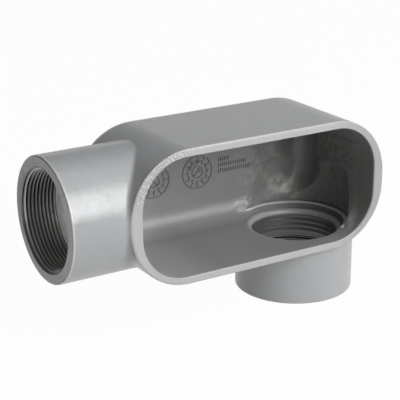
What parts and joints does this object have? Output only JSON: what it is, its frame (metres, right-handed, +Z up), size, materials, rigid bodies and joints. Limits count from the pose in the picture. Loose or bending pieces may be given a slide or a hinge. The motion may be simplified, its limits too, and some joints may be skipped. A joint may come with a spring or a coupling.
{
  "type": "conduit body",
  "caption": "Cast conduit body: a long rounded box, open in front for wiring, with a threaded hub at its end and another underneath.",
  "frame": {"origin": "centre of the side hub's mouth face", "axes": "+Z is up, out of the body's plain long side and against the side hub, which points down; the end hub points along -X; the wiring opening faces -Y"},
  "size_m": [0.2051, 0.0757, 0.1126],
  "materials": {
    "casting": "satin silver-grey coat on a fine casting"
  },
  "bodies": {
    "root": {"body": "casting"}
  },
  "joints": []
}
